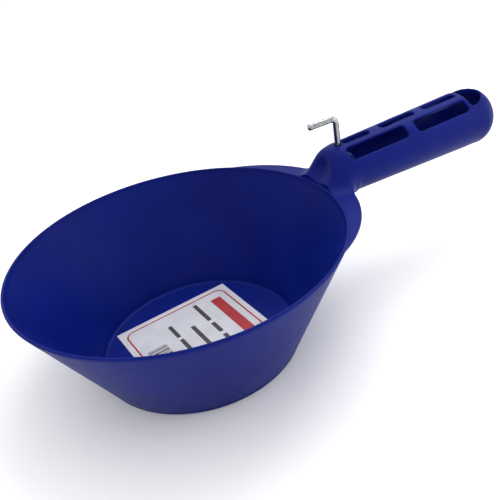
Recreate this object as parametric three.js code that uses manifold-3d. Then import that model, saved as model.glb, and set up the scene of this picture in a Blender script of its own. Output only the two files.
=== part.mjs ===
// A one-piece moulded feed scoop: a tapered round bowl, a crescent flange on its rim, a hollow
// slotted handle, a swivelling wire hook in the handle's root and a sticker on the bowl's floor.
// Millimetres, +Z up. The origin is the centre of the flat underside; +X runs along the handle.
import * as THREE from "three";
import { mergeVertices } from "three/addons/utils/BufferGeometryUtils.js";
import Module from "manifold-3d";

const wasm = await Module();
wasm.setup();

// Bowl
const BASE_R = 55; // outside radius of the underside
const FLOOR_R = 53.1; // inside radius at the floor
const FLOOR_Z = 2.8; // floor thickness
const RIM_OUTER_R = 87.8;
const RIM_INNER_R = 86.2;
const RIM_Z = 65; // height of the rim above the underside
const BASE_EDGE = 1.6; // rounding of the bottom edge
const FLOOR_FILLET = 2.0;
const LIP = (RIM_OUTER_R - RIM_INNER_R) / 2;
const BOWL_SIDES = 80;
const KEPT_CLEAR = 30; // height above the rim that the handle stays out of

// Flange: the sliver between the rim and a larger circle that bulges towards the handle
const FLANGE_ARC_X = 27.5; // centre of the outer arc
const FLANGE_ARC_R = 71.4;
const FLANGE_TOP = RIM_Z - 0.4;
const FLANGE_THICK = 3;

// Handle: a tube that widens away from the bowl, measured along its own axis
const AXIS_X = 104.5; // reference point of the axis, at the hook
const AXIS_Z = 68.7;
const TILT = THREE.MathUtils.degToRad(0.5); // the far end is this much higher
const ROOT_R = 14.8; // radius at the reference point
const FLARE = 0.0245; // radius gained for each millimetre of length
const DOME_CENTRE = 0; // where the domed root reaches the full radius
const DOME_LENGTH = 20.5;
const DISH_X = 83; // shallow dish in the face of the dome, towards the bowl
const DISH_Z = 75.5;
const DISH_R = 10;
const CAP_START = 91.8; // where the rounded far end begins
const CAP_LENGTH = 14.1;
const WALL = 2.6;
const HOLLOW_START = 5.5; // the root before this is solid and carries the hook
const HANDLE_SIDES = 40;
const ROOT_OVERLAP = 12; // how far the root runs on past the bowl's wall before it is trimmed

// Slots in the handle's wall: [start, end] along the axis
const TOP_SLOTS = [
  [1.4, 19.0],
  [26.5, 51.0],
  [57.5, 81.5],
];
const SIDE_SLOTS = [
  [-1.4, 38.0],
  [44.6, 82.0],
];
const TOP_SLOT_WIDTH = 5.6;
const SIDE_SLOT_WIDTH = 7.9;
const SIDE_SLOT_ANGLE = THREE.MathUtils.degToRad(39.9); // from the top of the handle
const SLOT_CORNER = 2.2;

// Hanging slot through the far end: a circle cut off by a straight edge, wide above and narrow below
const HANG_X = 86.3;
const HANG_TOP_R = 12.0;
const HANG_LOW_R = 9.5;
const HANG_FLAT = 84.2;

// Hook: a headed pin, bent over at the top
const WIRE_R = 1.75;
const HOOK_X = 102.8;
const HOOK_TOP = 98.2; // height of the short leg's centre line
const HOOK_TIP_X = 85.6;
const BEND_R = 3.2;
const HEAD_R = 3.2;
const HEAD_Z = 54.2;
const HEAD_THICK = 1.5;
const SEAT_Z = 56.0; // flat seat cut for the head in the handle's underside
const SEAT_R = 4.0;
const SEAT_DEPTH = 20; // the seat is open downwards
const HOLE_R = 2.1;

// Label: a square sticker, turned a little on the floor
const LABEL_SIDE = 72;
const LABEL_THICK = 0.25;
const LABEL_GAP = 0.05;
const LABEL_TURN = THREE.MathUtils.degToRad(4.2);
const LABEL_CORNER = 0.8;

// A closed geometry as a manifold-3d solid, moved by an optional matrix.
function solid(geometry, matrix = new THREE.Matrix4()) {
  const g = geometry.clone();
  g.deleteAttribute("normal");
  g.deleteAttribute("uv");
  g.applyMatrix4(matrix);
  const merged = mergeVertices(g, 1e-4);
  const vertProperties = new Float32Array(merged.attributes.position.array);
  const triVerts = new Uint32Array(merged.index.array);
  return new wasm.Manifold(new wasm.Mesh({ numProp: 3, vertProperties, triVerts }));
}

// A manifold-3d solid as a named mesh.
function meshOf(name, body, material) {
  const made = body.getMesh();
  const g = new THREE.BufferGeometry();
  g.setAttribute("position", new THREE.BufferAttribute(made.vertProperties, 3));
  g.setIndex(new THREE.BufferAttribute(made.triVerts, 1));
  g.computeVertexNormals();
  const mesh = new THREE.Mesh(g, material);
  mesh.name = name;
  return mesh;
}

// Points on part of an ellipse, from angle a0 to a1 in degrees.
function arc(cx, cy, rx, ry, a0, a1, steps) {
  return Array.from({ length: steps + 1 }, (_, i) => {
    const a = THREE.MathUtils.degToRad(a0 + ((a1 - a0) * i) / steps);
    return new THREE.Vector2(cx + rx * Math.cos(a), cy + ry * Math.sin(a));
  });
}

const v2 = (x, y) => new THREE.Vector2(x, y);

// LatheGeometry turns its profile about Y; this stands that axis up along Z.
const upright = new THREE.Matrix4().makeRotationX(Math.PI / 2);
// Handle space: its axis is +X, its top is +Z and its origin is the reference point.
const handleSpace = new THREE.Matrix4()
  .makeTranslation(AXIS_X, 0, AXIS_Z)
  .multiply(new THREE.Matrix4().makeRotationY(-TILT));
// A lathed profile with its axis along the handle.
const alongHandle = handleSpace.clone().multiply(new THREE.Matrix4().makeRotationZ(-Math.PI / 2));

function bowlOutside() {
  const slope = (RIM_OUTER_R - BASE_R) / RIM_Z;
  const lipR = RIM_OUTER_R - LIP;
  const profile = [
    v2(0, 0),
    ...arc(BASE_R - BASE_EDGE, BASE_EDGE, BASE_EDGE + slope * BASE_EDGE, BASE_EDGE, -90, 0, 3),
    ...arc(lipR, RIM_Z - LIP, LIP, LIP, 0, 90, 3),
    v2(0, RIM_Z),
  ];
  return solid(new THREE.LatheGeometry(profile, BOWL_SIDES), upright);
}

// The space inside the bowl, and above it, that every other piece stays out of.
function bowlInside() {
  const above = RIM_Z + KEPT_CLEAR;
  const mouthR = RIM_INNER_R + LIP * 0.6; // part-way over the rounded lip
  const profile = [
    v2(0, FLOOR_Z),
    ...arc(FLOOR_R - 1, FLOOR_Z + FLOOR_FILLET, FLOOR_FILLET, FLOOR_FILLET, -90, -20, 3),
    v2(RIM_INNER_R, RIM_Z - LIP),
    v2(mouthR, RIM_Z),
    v2(mouthR, above),
    v2(0, above),
  ];
  return solid(new THREE.LatheGeometry(profile, BOWL_SIDES), upright);
}

function flange() {
  const disc = new THREE.Shape();
  disc.absarc(FLANGE_ARC_X, 0, FLANGE_ARC_R, 0, Math.PI * 2, false);
  const options = { depth: FLANGE_THICK, bevelEnabled: false, curveSegments: 64 };
  const place = new THREE.Matrix4().makeTranslation(0, 0, FLANGE_TOP - FLANGE_THICK);
  return solid(new THREE.ExtrudeGeometry(disc, options), place);
}

// Radius of the handle's outside at a place along its straight stretch.
const radiusAt = (t) => ROOT_R + FLARE * t;

function handleOutside() {
  const rootR = radiusAt(DOME_CENTRE);
  const capR = radiusAt(CAP_START);
  const profile = [
    ...arc(0, DOME_CENTRE, rootR, DOME_LENGTH, -90, 0, 7),
    ...arc(0, CAP_START, capR, CAP_LENGTH, 0, 90, 7),
  ];
  return solid(new THREE.LatheGeometry(profile, HANDLE_SIDES), alongHandle);
}

function handleHollow() {
  const profile = [
    v2(0, HOLLOW_START),
    v2(radiusAt(HOLLOW_START) - WALL, HOLLOW_START),
    ...arc(0, CAP_START, radiusAt(CAP_START) - WALL, CAP_LENGTH - WALL, 0, 90, 5),
  ];
  return solid(new THREE.LatheGeometry(profile, HANDLE_SIDES), alongHandle);
}

// The lower half of the handle's root, carried on through to the bowl's wall.
function root() {
  const half = new THREE.Shape();
  half.absarc(0, 0, ROOT_R, Math.PI, 2 * Math.PI, false);
  half.closePath();
  const length = AXIS_X - RIM_INNER_R + ROOT_OVERLAP;
  const options = { depth: length, bevelEnabled: false, curveSegments: 18 };
  const place = new THREE.Matrix4()
    .makeBasis(new THREE.Vector3(0, 1, 0), new THREE.Vector3(0, 0, 1), new THREE.Vector3(1, 0, 0))
    .setPosition(AXIS_X - length, 0, FLANGE_TOP);
  const squash = new THREE.Matrix4().makeScale(1, (ROOT_R - (AXIS_Z - FLANGE_TOP)) / ROOT_R, 1);
  return solid(new THREE.ExtrudeGeometry(half, options), place.multiply(squash));
}

// The ball that leaves the dish in the dome.
function dish() {
  const place = new THREE.Matrix4().makeTranslation(DISH_X, 0, DISH_Z);
  return solid(new THREE.SphereGeometry(DISH_R, 32, 20), place);
}

// A rounded rectangle from start to end along the handle, pushed out through its wall.
function slot(start, end, width, angle) {
  const s = new THREE.Shape();
  const h = width / 2;
  const c = SLOT_CORNER;
  s.moveTo(start + c, -h);
  s.lineTo(end - c, -h);
  s.absarc(end - c, c - h, c, -Math.PI / 2, 0, false);
  s.absarc(end - c, h - c, c, 0, Math.PI / 2, false);
  s.absarc(start + c, h - c, c, Math.PI / 2, Math.PI, false);
  s.absarc(start + c, c - h, c, Math.PI, 1.5 * Math.PI, false);
  const options = { depth: ROOT_R, bevelEnabled: false, curveSegments: 3 };
  const outward = new THREE.Matrix4().makeTranslation(0, 0, ROOT_R / 2);
  const turn = new THREE.Matrix4().makeRotationX(angle);
  const place = handleSpace.clone().multiply(turn).multiply(outward);
  return solid(new THREE.ExtrudeGeometry(s, options), place);
}

// Half of the hanging slot, from bottom up through the handle's wall.
function hangingSlot(radius, bottom) {
  const reach = Math.acos((HANG_FLAT - HANG_X) / radius);
  const s = new THREE.Shape();
  s.absarc(HANG_X, 0, radius, -reach, reach, false);
  s.closePath();
  const options = { depth: 2 * ROOT_R, bevelEnabled: false, curveSegments: 14 };
  const lift = new THREE.Matrix4().makeTranslation(0, 0, bottom);
  return solid(new THREE.ExtrudeGeometry(s, options), handleSpace.clone().multiply(lift));
}

// A round bar standing on z = bottom at the hook's place.
function post(radius, bottom, top, sides) {
  const g = new THREE.CylinderGeometry(radius, radius, top - bottom, sides);
  const place = new THREE.Matrix4().makeTranslation(HOOK_X, 0, (top + bottom) / 2);
  return solid(g, place.multiply(upright));
}

function moulding() {
  const cuts = [
    ...TOP_SLOTS.map(([a, b]) => slot(a, b, TOP_SLOT_WIDTH, 0)),
    ...SIDE_SLOTS.map(([a, b]) => slot(a, b, SIDE_SLOT_WIDTH, SIDE_SLOT_ANGLE)),
    ...SIDE_SLOTS.map(([a, b]) => slot(a, b, SIDE_SLOT_WIDTH, -SIDE_SLOT_ANGLE)),
    handleHollow(),
    dish(),
    hangingSlot(HANG_TOP_R, 0),
    hangingSlot(HANG_LOW_R, -2 * ROOT_R),
    post(HOLE_R, SEAT_Z - SEAT_DEPTH, AXIS_Z + 2 * ROOT_R, 16),
    post(SEAT_R, SEAT_Z - SEAT_DEPTH, SEAT_Z, 24),
    bowlInside(),
  ];
  const whole = bowlOutside().add(flange()).add(handleOutside()).add(root());
  return cuts.reduce((body, cut) => body.subtract(cut), whole);
}

function hook() {
  const path = new THREE.CurvePath();
  const corner = new THREE.Vector3(HOOK_X, 0, HOOK_TOP);
  const under = new THREE.Vector3(HOOK_X, 0, HOOK_TOP - BEND_R);
  const beside = new THREE.Vector3(HOOK_X - BEND_R, 0, HOOK_TOP);
  path.add(new THREE.LineCurve3(new THREE.Vector3(HOOK_X, 0, HEAD_Z + 0.5), under));
  path.add(new THREE.QuadraticBezierCurve3(under, corner, beside));
  path.add(new THREE.LineCurve3(beside, new THREE.Vector3(HOOK_TIP_X, 0, HOOK_TOP)));
  const section = new THREE.Shape();
  section.absarc(0, 0, WIRE_R, 0, Math.PI * 2, false);
  const options = { steps: 44, extrudePath: path, curveSegments: 6 };
  const wire = solid(new THREE.ExtrudeGeometry(section, options));
  return wire.add(post(HEAD_R, HEAD_Z, HEAD_Z + HEAD_THICK, 20));
}

function label() {
  const s = new THREE.Shape();
  const h = LABEL_SIDE / 2;
  const c = h - LABEL_CORNER;
  s.absarc(c, c, LABEL_CORNER, 0, Math.PI / 2, false);
  s.absarc(-c, c, LABEL_CORNER, Math.PI / 2, Math.PI, false);
  s.absarc(-c, -c, LABEL_CORNER, Math.PI, 1.5 * Math.PI, false);
  s.absarc(c, -c, LABEL_CORNER, 1.5 * Math.PI, 2 * Math.PI, false);
  const options = { depth: LABEL_THICK, bevelEnabled: false, curveSegments: 4 };
  return solid(new THREE.ExtrudeGeometry(s, options));
}

const blue = new THREE.MeshStandardMaterial({ color: 0x1c2f86, roughness: 0.42, metalness: 0 });
const zinc = new THREE.MeshStandardMaterial({ color: 0xb9bcc0, roughness: 0.3, metalness: 1 });
const paper = new THREE.MeshStandardMaterial({ color: 0xe9eaee, roughness: 0.6, metalness: 0 });

const scoop = new THREE.Group();
scoop.add(meshOf("scoop_moulding", moulding(), blue));
scoop.add(meshOf("hook", hook(), zinc));
const sticker = meshOf("label", label(), paper);
sticker.position.set(0, 0, FLOOR_Z + LABEL_GAP);
sticker.rotation.z = LABEL_TURN;
scoop.add(sticker);

export default scoop;
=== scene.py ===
"""A moulded feed scoop: fine meshes, materials, soft studio light and the camera.

Sizes are in millimetres in the frame of the CAD part, and become metres as the meshes are made.
The studio's sizes, and the scales and depths in the materials, are in metres already.
"""

import math

import bpy
import numpy as np
from mathutils import Matrix, Vector


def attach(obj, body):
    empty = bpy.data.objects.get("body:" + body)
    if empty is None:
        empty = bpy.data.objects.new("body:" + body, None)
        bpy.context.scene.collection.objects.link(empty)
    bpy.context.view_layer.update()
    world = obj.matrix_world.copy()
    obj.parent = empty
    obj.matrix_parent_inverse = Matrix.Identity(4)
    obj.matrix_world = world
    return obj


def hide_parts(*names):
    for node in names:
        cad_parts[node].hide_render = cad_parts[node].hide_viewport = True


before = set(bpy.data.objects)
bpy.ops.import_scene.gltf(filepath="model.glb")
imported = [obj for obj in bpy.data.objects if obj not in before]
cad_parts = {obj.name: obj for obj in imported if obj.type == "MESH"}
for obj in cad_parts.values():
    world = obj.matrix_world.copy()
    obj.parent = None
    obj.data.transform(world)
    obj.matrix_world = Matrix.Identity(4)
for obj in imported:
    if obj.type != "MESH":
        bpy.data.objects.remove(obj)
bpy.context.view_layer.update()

MM = 0.001

# Bowl
BASE_R = 55.0
FLOOR_R = 53.1
FLOOR_Z = 2.8
RIM_OUTER_R = 87.8
RIM_INNER_R = 86.2
RIM_Z = 65.0
LIP = (RIM_OUTER_R - RIM_INNER_R) / 2
BASE_EDGE = 1.6
FLOOR_FILLET = 2.0
FILLET_X = FLOOR_R - 1.0
FILLET_START = -10
HUB_R = 6.0
BOWL_SIDES = 288
WALL_STEPS = 24
FLAT_STEPS = 8
CORNER_STEPS = 8
LIP_STEPS = 14

# Flange
FLANGE_ARC_X = 27.5
FLANGE_ARC_R = 71.4
FLANGE_TOP = 64.6
FLANGE_THICK = 3.0
FLANGE_HALF_WIDTH = 20.0
FLANGE_ROUND = 1.1

# Handle
AXIS_X = 104.5
AXIS_Z = 68.7
TILT = math.radians(0.5)
ROOT_R = 14.8
FLARE = 0.0245
DOME_CENTRE = 0.0
DOME_LENGTH = 20.5
DISH_X = 83.0
DISH_Z = 75.5
DISH_R = 10.0
CAP_START = 91.8
CAP_LENGTH = 14.1
WALL = 2.6
HOLLOW_START = 5.5
TOP_SLOTS = [(1.4, 19.0), (26.5, 51.0), (57.5, 81.5)]
SIDE_SLOTS = [(-1.4, 38.0), (44.6, 82.0)]
TOP_SLOT_WIDTH = 5.6
SIDE_SLOT_WIDTH = 7.9
SIDE_SLOT_ANGLE = math.radians(39.9)
SLOT_CORNER = 2.2
SLOT_DEPTH = ROOT_R / 2
HANG_X = 86.3
HANG_TOP_R = 12.0
HANG_LOW_R = 9.5
HANG_FLAT = 84.2

# Underside of the root: half an elliptic bar, just below the flange's top
BAR_SINK = 0.5

# How widely the handle's surfaces blend into each other
ROOT_BLEND = 12.5
BAR_BLEND = 1.5
DISH_ROUND = 6.5
EDGE_ROUND = 0.9
HANG_ROUND = 2.0
HOLE_ROUND = 0.7

# About the cosine of the bowl wall's lean, which turns a level gap into a distance from it
WALL_LEAN = 0.88

# The handle's skin: the box to search, the grid's cell, and how vertices move to the surface
SKIN_LOW = (56.0, -68.0, 50.5)
SKIN_HIGH = (212.5, 68.0, 88.5)
CELL = 0.62
SNAP_ROUNDS = 3
SNAP_REACH = 0.6
SNAP_SLOPE = 0.2
SLOPE_STEP = 0.05
TINY = 1e-6

# Hook
WIRE_R = 1.75
HOOK_X = 102.8
HOOK_TOP = 98.2
HOOK_TIP_X = 85.6
BEND_R = 3.2
HEAD_R = 3.2
HEAD_Z = 54.2
HEAD_THICK = 1.5
HEAD_EDGE = 0.6
HEAD_CENTRE_R = 0.4
HEAD_BEVEL = 0.2
NECK_R = WIRE_R + 0.25
NECK_LOW = 0.02
NECK_HIGH = 0.25
SHANK_START = 0.6
TIP_CHAMFER = 0.45
TIP_SHOULDER = 0.8 * TIP_CHAMFER
TIP_FACE = 0.1
HOOK_SIDES = 40
HEAD_STEPS = 5
SHANK_STEPS = 24
BEND_STEPS = 14
LEG_STEPS = 10
SEAT_Z = 56.0
SEAT_R = 4.0
HOLE_R = 2.1

# Label
LABEL_SIDE = 72.0
LABEL_THICK = 0.25
LABEL_GAP = 0.05
LABEL_Z = FLOOR_Z + LABEL_GAP
LABEL_TURN = math.radians(4.2)
BORDER_INSET = 3.2
BORDER_RULE = 1.0
BORDER_CORNER = 5.5
BORDER_STEP = 0.25
PAPER, RED, BLACK = 0, 1, 2
STRIPES = 24
STRIPES_LEFT = -8.5
STRIPES_TOP = 17.5
STRIPES_FOOT = 29.0
STRIPE_WIDTHS = (0.5, 0.9, 0.5, 1.3, 0.5)
STRIPE_GAPS = (0.6, 0.5, 0.8)

# Camera: its turn, and how far ahead, right and up of it the frame's origin lies
CAMERA_AZIMUTH = math.radians(-23.0)
CAMERA_ELEVATION = math.radians(30.75)
CAMERA_ROLL = math.radians(-11.14)
CAMERA_DISTANCE = 353.8
CAMERA_RIGHT = -27.16
CAMERA_UP = -50.79
LENS = 45.6
SENSOR = 36.0
CLIP_START = 0.01

# Studio
SKY_LOW = 0.8
SKY_HIGH = 1.4
FLOOR_HALF = 15.0
FLOOR_DROP = 0.0002


# ---------------------------------------------------------------- meshes


def mesh_object(name, vertices, faces, smooth=True):
    """A mesh object from vertices in millimetres."""
    mesh = bpy.data.meshes.new(name)
    mesh.from_pydata((np.asarray(vertices, float) * MM).tolist(), [], faces)
    mesh.validate()
    mesh.polygons.foreach_set("use_smooth", [smooth] * len(mesh.polygons))
    mesh.update()
    piece = bpy.data.objects.new(name, mesh)
    bpy.context.scene.collection.objects.link(piece)
    return piece


def arc(cx, cy, rx, ry, a0, a1, steps):
    """Points on part of an ellipse, from a0 to a1 degrees."""
    angles = np.radians(np.linspace(a0, a1, steps + 1))
    return np.stack([cx + rx * np.cos(angles), cy + ry * np.sin(angles)], axis=1)


def line(start, end, steps):
    """Points from start to end without the end itself."""
    k = np.linspace(0, 1, steps, endpoint=False)[:, None]
    return np.asarray(start) * (1 - k) + np.asarray(end) * k


def lathe(name, profile, sides):
    """A profile of (radius, height) that starts and ends on the axis, turned round Z."""
    inner = profile[1:-1]
    angles = np.linspace(0, 2 * math.pi, sides, endpoint=False)
    ring = np.stack([np.cos(angles), np.sin(angles)], axis=1)
    points = [(0, 0, profile[0][1])]
    for radius, height in inner:
        points.extend((radius * x, radius * y, height) for x, y in ring)
    points.append((0, 0, profile[-1][1]))
    last = len(points) - 1
    faces = []
    for j in range(sides):
        k = (j + 1) % sides
        faces.append((0, 1 + k, 1 + j))
        faces.append((last, last - sides + j, last - sides + k))
        for i in range(len(inner) - 1):
            a, b = 1 + i * sides, 1 + (i + 1) * sides
            faces.append((a + j, a + k, b + k, b + j))
    return mesh_object(name, points, faces)


def smooth_min(a, b, width):
    """The smaller of two distances, with the corner between them rounded off."""
    h = np.maximum(width - np.abs(a - b), 0) / width
    return np.minimum(a, b) - h * h * width / 4


def smooth_max(a, b, width):
    return -smooth_min(-a, -b, width)


def rounded_box_2d(u, v, half_u, half_v, corner):
    """Distance to a rounded rectangle centred on the origin."""
    qu = np.abs(u) - half_u + corner
    qv = np.abs(v) - half_v + corner
    outside = np.hypot(np.maximum(qu, 0), np.maximum(qv, 0))
    return outside + np.minimum(np.maximum(qu, qv), 0) - corner


def capsule(t, rho, start, end, start_length, end_length, shrink):
    """Distance to the widening tube with an elliptic cap at each end, shrunk by a wall."""
    beyond = np.where(t < start, start - t, np.maximum(t - end, 0))
    length = np.where(t < start, start_length, end_length) - shrink
    radius = ROOT_R + FLARE * np.clip(t, start, end) - shrink
    k = np.hypot(beyond / length, rho / radius)
    slope = np.hypot(beyond / length**2, rho / radius**2)
    return k * (k - 1) / np.maximum(slope, TINY)


def handle_distance(x, y, z):
    """Distance to the handle, its root and the flange, outside the bowl's wall."""
    t = (x - AXIS_X) * math.cos(TILT) + (z - AXIS_Z) * math.sin(TILT)
    n = -(x - AXIS_X) * math.sin(TILT) + (z - AXIS_Z) * math.cos(TILT)
    rho = np.hypot(y, n)

    tube = capsule(t, rho, DOME_CENTRE, CAP_START, DOME_LENGTH, CAP_LENGTH, 0)
    plan = np.hypot(x - FLANGE_ARC_X, y) - FLANGE_ARC_R
    height = z - FLANGE_TOP + FLANGE_THICK / 2
    inward = plan + FLANGE_HALF_WIDTH
    plate = rounded_box_2d(inward, height, FLANGE_HALF_WIDTH, FLANGE_THICK / 2, FLANGE_ROUND)
    body = smooth_min(tube, plate, ROOT_BLEND)

    drop = ROOT_R - (AXIS_Z - FLANGE_TOP)
    bar = (np.hypot(y / ROOT_R, (z - FLANGE_TOP) / drop) - 1) * drop
    bar = np.maximum(np.maximum(bar, z - FLANGE_TOP + BAR_SINK), x - AXIS_X)
    body = smooth_min(body, bar, BAR_BLEND)

    dish = DISH_R - np.sqrt((x - DISH_X) ** 2 + y**2 + (z - DISH_Z) ** 2)
    body = smooth_max(body, dish, DISH_ROUND)

    hollow = capsule(t, rho, DOME_CENTRE, CAP_START, DOME_LENGTH, CAP_LENGTH, WALL)
    hollow = smooth_max(hollow, HOLLOW_START - t, EDGE_ROUND)
    body = smooth_max(body, -hollow, EDGE_ROUND)

    rows = [(TOP_SLOTS, TOP_SLOT_WIDTH, 0.0)]
    rows += [(SIDE_SLOTS, SIDE_SLOT_WIDTH, sign * SIDE_SLOT_ANGLE) for sign in (1, -1)]
    for slots, width, angle in rows:
        across = y * math.cos(angle) + n * math.sin(angle)
        outward = -y * math.sin(angle) + n * math.cos(angle)
        for start, end in slots:
            middle, half = (start + end) / 2, (end - start) / 2
            cut = rounded_box_2d(t - middle, across, half, width / 2, SLOT_CORNER)
            cut = np.maximum(cut, SLOT_DEPTH - outward)
            body = smooth_max(body, -cut, EDGE_ROUND)

    for radius, beyond in ((HANG_TOP_R, -n), (HANG_LOW_R, n)):
        moon = smooth_max(np.hypot(t - HANG_X, y) - radius, HANG_FLAT - t, HANG_ROUND)
        body = smooth_max(body, -np.maximum(moon, beyond), EDGE_ROUND)

    hook_axis = np.hypot(x - HOOK_X, y)
    body = smooth_max(body, HOLE_R - hook_axis, HOLE_ROUND)
    body = smooth_max(body, -np.maximum(hook_axis - SEAT_R, z - SEAT_Z), HOLE_ROUND)

    # Half-way through the bowl's wall, so that the joint is hidden inside it.
    level = np.minimum(z, RIM_Z)
    inside = FLOOR_R + (RIM_INNER_R - FLOOR_R) * (level - FLOOR_Z) / (RIM_Z - FLOOR_Z)
    outside = BASE_R + (RIM_OUTER_R - BASE_R) * level / RIM_Z
    wall = (inside + outside) / 2 - np.hypot(x, y)
    return np.maximum(body, wall * WALL_LEAN)


def gradient(distance, p, step=SLOPE_STEP):
    """The direction in which a distance grows, by central differences."""
    parts = []
    for axis in range(3):
        move = np.zeros(3)
        move[axis] = step
        ahead, behind = p + move, p - move
        parts.append(distance(*ahead.T) - distance(*behind.T))
    return np.stack(parts, axis=1) / (2 * step)


def skin(name, distance, low, high, cell):
    """The zero surface of a distance function as a mesh of small quads."""
    axes = [np.arange(a, b + cell, cell) for a, b in zip(low, high)]
    grid = np.meshgrid(*axes, indexing="ij")
    values = distance(*grid)
    solid = values < 0
    counts = [n - 1 for n in solid.shape]
    corners = [(i, j, k) for i in (0, 1) for j in (0, 1) for k in (0, 1)]

    def shifted(array, corner):
        return array[tuple(slice(c, c + n) for c, n in zip(corner, counts))]

    full = sum(shifted(solid, c).astype(np.int8) for c in corners)
    active = (full > 0) & (full < len(corners))
    cells = np.argwhere(active)
    total = np.zeros((len(cells), 3))
    crossings = np.zeros(len(cells))
    for a in corners:
        for axis in range(3):
            if a[axis]:
                continue
            b = tuple(c + (1 if i == axis else 0) for i, c in enumerate(a))
            va, vb = shifted(values, a)[active], shifted(values, b)[active]
            hit = (va < 0) != (vb < 0)
            share = np.where(hit, va / np.where(hit, va - vb, 1), 0)
            offset = np.repeat(np.array(a, float)[None], len(cells), axis=0)
            offset[:, axis] += share
            total += offset * hit[:, None]
            crossings += hit
    points = np.array(low) + (cells + total / crossings[:, None]) * cell

    # Move each vertex onto the surface itself.
    start = points.copy()
    reach = SNAP_REACH * cell
    for _ in range(SNAP_ROUNDS):
        slope = gradient(distance, points)
        size = np.maximum((slope**2).sum(axis=1), SNAP_SLOPE)
        points = points - (distance(*points.T) / size)[:, None] * slope
        points = start + np.clip(points - start, -reach, reach)

    index = np.full(active.shape, -1)
    index[tuple(cells.T)] = np.arange(len(cells))
    faces = []
    for axis in range(3):
        u, v = (axis + 1) % 3, (axis + 2) % 3
        lower = [slice(1, -1)] * 3
        upper = [slice(1, -1)] * 3
        lower[axis] = slice(0, -1)
        upper[axis] = slice(1, None)
        below, above = solid[tuple(lower)], solid[tuple(upper)]
        for flip, edges in ((False, below & ~above), (True, above & ~below)):
            at = np.argwhere(edges)
            at += np.array([0 if i == axis else 1 for i in range(3)])
            quad = []
            for du, dv in ((-1, -1), (0, -1), (0, 0), (-1, 0)):
                where = at.copy()
                where[:, u] += du
                where[:, v] += dv
                quad.append(index[tuple(where.T)])
            quad = np.stack(quad, axis=1)
            faces.append(quad[:, ::-1] if flip else quad)
    return mesh_object(name, points, np.concatenate(faces).tolist())


def make_bowl():
    slope = (RIM_OUTER_R - BASE_R) / RIM_Z
    lip_r = RIM_OUTER_R - LIP
    edge_r = BASE_R - BASE_EDGE
    edge_x = BASE_EDGE + slope * BASE_EDGE
    lip_z = RIM_Z - LIP
    fillet_z = FLOOR_Z + FLOOR_FILLET
    profile = np.concatenate([
        [(0, 0)],
        line((HUB_R, 0), (edge_r, 0), FLAT_STEPS),
        arc(edge_r, BASE_EDGE, edge_x, BASE_EDGE, -90, 0, CORNER_STEPS),
        line((edge_r + edge_x, BASE_EDGE), (RIM_OUTER_R, lip_z), WALL_STEPS)[1:],
        arc(lip_r, lip_z, LIP, LIP, 0, 180, LIP_STEPS),
        line((RIM_INNER_R, lip_z), (FILLET_X + FLOOR_FILLET, fillet_z), WALL_STEPS)[1:],
        arc(FILLET_X, fillet_z, FLOOR_FILLET, FLOOR_FILLET, FILLET_START, -90, CORNER_STEPS),
        line((FILLET_X - FLOOR_FILLET, FLOOR_Z), (HUB_R, FLOOR_Z), FLAT_STEPS),
        [(0, FLOOR_Z)],
    ])
    return lathe("bowl_shell", profile, BOWL_SIDES)


def make_handle():
    return skin("handle_shell", handle_distance, SKIN_LOW, SKIN_HIGH, CELL)


def sweep(name, path, radii, sides):
    """A round bar along a path in the XZ plane, closed at both ends."""
    path = np.asarray(path, float)
    tangents = np.gradient(path, axis=0)
    tangents /= np.linalg.norm(tangents, axis=1)[:, None]
    side = np.array([0.0, 1.0, 0.0])
    angles = np.linspace(0, 2 * math.pi, sides, endpoint=False)
    points = []
    for centre, along, radius in zip(path, tangents, radii):
        up = np.cross(along, side)
        for a in angles:
            points.append(centre + radius * (math.cos(a) * side + math.sin(a) * up))
    faces = []
    for i in range(len(path) - 1):
        for j in range(sides):
            k = (j + 1) % sides
            a, b = i * sides, (i + 1) * sides
            faces.append((a + j, b + j, b + k, a + k))
    faces.append(tuple(range(sides)))
    faces.append(tuple(reversed(range((len(path) - 1) * sides, len(path) * sides))))
    return mesh_object(name, points, faces)


def make_hook():
    """The headed pin: head, shank, bend and short leg with a chamfered end."""
    stops = []
    for x, z in arc(0, 0, HEAD_R, HEAD_EDGE, -90, 0, HEAD_STEPS):
        stops.append(((HOOK_X, HEAD_Z + HEAD_EDGE + z), max(x, HEAD_CENTRE_R)))
    top = HEAD_Z + HEAD_THICK
    stops.append(((HOOK_X, top - HEAD_BEVEL), HEAD_R))
    stops.append(((HOOK_X, top), HEAD_R - HEAD_BEVEL))
    stops.append(((HOOK_X, top + NECK_LOW), NECK_R))
    stops.append(((HOOK_X, top + NECK_HIGH), WIRE_R))
    leg_start = (HOOK_X - BEND_R, HOOK_TOP)
    leg_end = (HOOK_TIP_X + TIP_CHAMFER, HOOK_TOP)
    wire = [
        line((HOOK_X, top + SHANK_START), (HOOK_X, HOOK_TOP - BEND_R), SHANK_STEPS),
        arc(HOOK_X - BEND_R, HOOK_TOP - BEND_R, BEND_R, BEND_R, 0, 90, BEND_STEPS),
        line(leg_start, leg_end, LEG_STEPS)[1:],
        [leg_end],
    ]
    stops.extend(((x, z), WIRE_R) for x, z in np.concatenate(wire))
    stops.append(((HOOK_TIP_X + TIP_FACE, HOOK_TOP), WIRE_R - TIP_SHOULDER))
    stops.append(((HOOK_TIP_X, HOOK_TOP), WIRE_R - TIP_CHAMFER - TIP_FACE))
    path = [(x, 0, z) for (x, z), _ in stops]
    return sweep("hook_wire", path, [r for _, r in stops], HOOK_SIDES)


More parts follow.
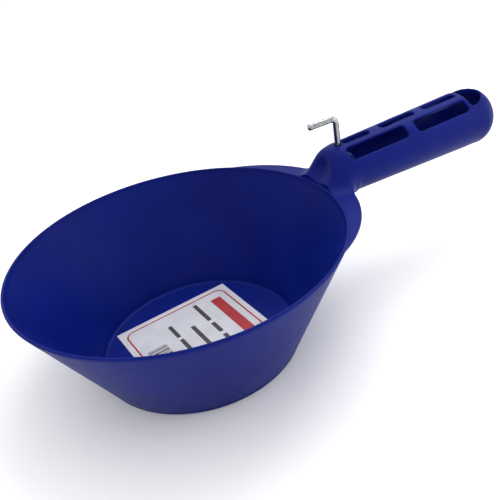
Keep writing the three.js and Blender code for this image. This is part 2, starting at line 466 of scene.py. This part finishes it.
def label_layout():
    """Plain bars as (x0, x1, y0, y1, ink) where the print would be: y runs down the page."""
    prints = [(-25.5, 25.5, -27.7, -21.1, RED)]
    # Each row of dark bars: its top, its height, and each bar's two ends
    words = [
        (-12.9, 2.6, (-28.5, -9.0), (-6.0, 4.5), (7.5, 28.5)),
        (-2.5, 2.6, (-11.5, 11.5)),
        (7.8, 2.4, (-21.0, -8.0), (-5.6, 6.0), (8.4, 21.0)),
    ]
    for top, tall, *spans in words:
        prints.extend((left, right, top, top + tall, BLACK) for left, right in spans)
    x = STRIPES_LEFT
    for i in range(STRIPES):
        width = STRIPE_WIDTHS[i % len(STRIPE_WIDTHS)]
        prints.append((x, x + width, STRIPES_TOP, STRIPES_FOOT, BLACK))
        x += width + STRIPE_GAPS[i % len(STRIPE_GAPS)]
    return prints


def label_ink(x, y, prints):
    """The ink at a place on the page."""
    half = LABEL_SIDE / 2 - BORDER_INSET
    edge = rounded_box_2d(x, y, half, half, BORDER_CORNER)
    if -BORDER_RULE < edge < 0:
        return RED
    found = [ink for x0, x1, y0, y1, ink in prints if x0 < x < x1 and y0 < y < y1]
    return found[-1] if found else PAPER


def make_label():
    """The sticker, cut along the edges of its printed areas so that each is its own faces."""
    half = LABEL_SIDE / 2
    prints = label_layout()
    frame_edge = half - BORDER_INSET
    lines = {-half, half, frame_edge - BORDER_RULE, BORDER_RULE - frame_edge}
    for k in np.arange(0, BORDER_CORNER, BORDER_STEP):
        lines |= {float(frame_edge - k), float(k - frame_edge)}
    xs = sorted(lines | {v for p in prints for v in p[:2]})
    ys = sorted(lines | {v for p in prints for v in p[2:4]})
    points, faces, inks = [], [], []
    for z in (LABEL_THICK, 0):
        points += [(x, y, z) for x in xs for y in ys]
    nx, ny = len(xs), len(ys)
    low = nx * ny
    for i in range(nx - 1):
        for j in range(ny - 1):
            a, b = i * ny + j, (i + 1) * ny + j
            x, y = (xs[i] + xs[i + 1]) / 2, (ys[j] + ys[j + 1]) / 2
            faces.append((a, b, b + 1, a + 1))
            inks.append(label_ink(x, y, prints))
            faces.append((low + a, low + a + 1, low + b + 1, low + b))
            inks.append(PAPER)
    edge = [i * ny for i in range(nx)] + [(nx - 1) * ny + j for j in range(1, ny)]
    edge += [i * ny + ny - 1 for i in reversed(range(nx - 1))]
    edge += list(reversed(range(1, ny - 1)))
    for a, b in zip(edge, edge[1:] + edge[:1]):
        faces.append((a, low + a, low + b, b))
        inks.append(PAPER)
    # The page's top edge faces +X, so its lines of print run along -Y.
    turn = Matrix.Rotation(LABEL_TURN - math.pi / 2, 3, "Z")
    placed = [turn @ Vector((x, -y, z)) + Vector((0, 0, LABEL_Z)) for x, y, z in points]
    piece = mesh_object("label_sheet", placed, [tuple(reversed(f)) for f in faces], smooth=False)
    piece.data.polygons.foreach_set("material_index", inks)
    return piece


# ---------------------------------------------------------------- materials


class Nodes:
    """A new material with short calls for adding and joining its nodes."""

    def __init__(self, name):
        self.material = bpy.data.materials.new(name)
        self.material.use_nodes = True
        self.tree = self.material.node_tree
        self.shader = self.tree.nodes["Principled BSDF"]
        self.place = self.add("ShaderNodeTexCoord").outputs["Object"]

    def add(self, kind, **inputs):
        node = self.tree.nodes.new(kind)
        for key, value in inputs.items():
            node.inputs[key.replace("_", " ")].default_value = value
        return node

    def join(self, start, end):
        self.tree.links.new(start, end)

    def noise(self, scale, detail=2.0):
        node = self.add("ShaderNodeTexNoise", Scale=scale, Detail=detail)
        self.join(self.place, node.inputs["Vector"])
        return node.outputs["Fac"]

    def ramp(self, source, *stops):
        node = self.add("ShaderNodeValToRGB")
        for element, (position, colour) in zip(node.color_ramp.elements, stops):
            element.position = position
            element.color = (*colour, 1)
        self.join(source, node.inputs["Fac"])
        return node.outputs["Color"]

    def spread(self, source, low, high):
        node = self.add("ShaderNodeMapRange", To_Min=low, To_Max=high)
        self.join(source, node.inputs["Value"])
        return node.outputs["Result"]

    def bump(self, source, strength, distance, under=None):
        node = self.add("ShaderNodeBump", Strength=strength, Distance=distance)
        self.join(source, node.inputs["Height"])
        if under is not None:
            self.join(under, node.inputs["Normal"])
        return node.outputs["Normal"]


def plastic():
    n = Nodes("blue_plastic")
    dark, light = (0.0008, 0.0055, 0.118), (0.0016, 0.0088, 0.150)
    colour = n.ramp(n.noise(scale=26, detail=3), (0.3, dark), (0.7, light))
    n.join(colour, n.shader.inputs["Base Color"])
    rough = n.spread(n.noise(scale=140, detail=4), low=0.36, high=0.50)
    n.join(rough, n.shader.inputs["Roughness"])
    grain = n.bump(n.noise(scale=1400), strength=0.10, distance=0.00008)
    ripple = n.bump(n.noise(scale=45), strength=0.10, distance=0.0005, under=grain)
    n.join(ripple, n.shader.inputs["Normal"])
    n.shader.inputs["IOR"].default_value = 1.49
    n.shader.inputs["Specular IOR Level"].default_value = 0.08
    return n.material


def zinc():
    n = Nodes("zinc_plate")
    dark, light = (0.22, 0.23, 0.245), (0.40, 0.41, 0.43)
    colour = n.ramp(n.noise(scale=600, detail=4), (0.35, dark), (0.68, light))
    n.join(colour, n.shader.inputs["Base Color"])
    rough = n.spread(n.noise(scale=900, detail=3), low=0.14, high=0.30)
    n.join(rough, n.shader.inputs["Roughness"])
    pits = n.bump(n.noise(scale=700, detail=3), strength=0.12, distance=0.00005)
    n.join(pits, n.shader.inputs["Normal"])
    n.shader.inputs["Metallic"].default_value = 1.0
    return n.material


def paper(name, dark, light):
    n = Nodes(name)
    colour = n.ramp(n.noise(scale=90, detail=4), (0.3, dark), (0.7, light))
    n.join(colour, n.shader.inputs["Base Color"])
    rough = n.spread(n.noise(scale=300, detail=3), low=0.42, high=0.6)
    n.join(rough, n.shader.inputs["Roughness"])
    fibre = n.bump(n.noise(scale=1200, detail=3), strength=0.2, distance=0.00006)
    n.join(fibre, n.shader.inputs["Normal"])
    return n.material


def plain(name, colour, roughness):
    n = Nodes(name)
    n.shader.inputs["Base Color"].default_value = (*colour, 1)
    n.shader.inputs["Roughness"].default_value = roughness
    return n.material


# ---------------------------------------------------------------- scene


def camera_axes():
    """The camera's right, up and backward directions in the part's frame."""
    az, el = CAMERA_AZIMUTH, CAMERA_ELEVATION
    back = Vector((math.sin(az) * math.cos(el), -math.cos(az) * math.cos(el), math.sin(el)))
    right = Vector((math.cos(az), math.sin(az), 0))
    turn = Matrix.Rotation(CAMERA_ROLL, 3, back)
    return turn @ right, turn @ back.cross(right), back


def make_camera():
    right, up, back = camera_axes()
    data = bpy.data.cameras.new("photo_camera")
    data.lens = LENS
    data.sensor_width = SENSOR
    data.clip_start = CLIP_START
    camera = bpy.data.objects.new("photo_camera", data)
    spot = CAMERA_DISTANCE * back - CAMERA_RIGHT * right - CAMERA_UP * up
    turn = Matrix((right, up, back)).transposed().to_4x4()
    camera.matrix_world = Matrix.Translation(spot * MM) @ turn
    bpy.context.scene.collection.objects.link(camera)
    bpy.context.scene.camera = camera


def area_light(name, place, target, size, power):
    data = bpy.data.lights.new(name, "AREA")
    data.shape = "RECTANGLE"
    data.size = data.size_y = size
    data.energy = power
    light = bpy.data.objects.new(name, data)
    spot = Vector(place)
    light.location = spot
    light.rotation_euler = (spot - Vector(target)).to_track_quat("Z", "Y").to_euler()
    bpy.context.scene.collection.objects.link(light)


def make_world():
    """White light from all round, stronger from above than from below."""
    world = bpy.data.worlds.new("studio")
    world.use_nodes = True
    tree = world.node_tree
    sky = tree.nodes["Background"]
    sky.inputs["Color"].default_value = (1, 1, 1, 1)
    direction = tree.nodes.new("ShaderNodeTexCoord").outputs["Generated"]
    height = tree.nodes.new("ShaderNodeSeparateXYZ")
    tree.links.new(direction, height.inputs["Vector"])
    glow = tree.nodes.new("ShaderNodeMapRange")
    glow.inputs["To Min"].default_value = SKY_LOW
    glow.inputs["To Max"].default_value = SKY_HIGH
    tree.links.new(height.outputs["Z"], glow.inputs["Value"])
    tree.links.new(glow.outputs["Result"], sky.inputs["Strength"])
    bpy.context.scene.world = world
    bpy.context.scene.view_settings.view_transform = "Standard"


def make_floor():
    """A plain floor that lies just under the scoop's base."""
    outline = [(-1, -1), (1, -1), (1, 1), (-1, 1)]
    corners = [(FLOOR_HALF * x, FLOOR_HALF * y, -FLOOR_DROP) for x, y in outline]
    mesh = bpy.data.meshes.new("floor")
    mesh.from_pydata(corners, [], [(0, 1, 2, 3)])
    floor = bpy.data.objects.new("floor", mesh)
    bpy.context.scene.collection.objects.link(floor)
    floor.data.materials.append(plain("pale_floor", (0.92, 0.92, 0.93), roughness=0.7))


def make_studio():
    make_world()
    area_light("key", place=(0.40, 0.25, 0.80), target=(0.05, 0, 0.03), size=0.6, power=3)
    area_light("side", place=(0.75, -0.35, 0.25), target=(0.05, 0, 0.05), size=0.5, power=1.5)
    make_floor()


def dress(piece, body, node, materials):
    """Give a piece its materials, parent it to its body, and hide the CAD node that it replaces.
    """
    for material in materials:
        piece.data.materials.append(material)
    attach(piece, body)
    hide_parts(node)


make_camera()
make_studio()
blue = plastic()
dress(make_bowl(), "scoop", "scoop_moulding", [blue])
dress(make_handle(), "scoop", "scoop_moulding", [blue])
dress(make_hook(), "hook", "hook", [zinc()])
inks = [
    paper("label_paper", (0.47, 0.475, 0.52), (0.54, 0.545, 0.59)),
    paper("label_red", (0.28, 0.008, 0.011), (0.36, 0.014, 0.018)),
    paper("label_black", (0.018, 0.018, 0.024), (0.035, 0.035, 0.042)),
]
dress(make_label(), "scoop", "label", inks)
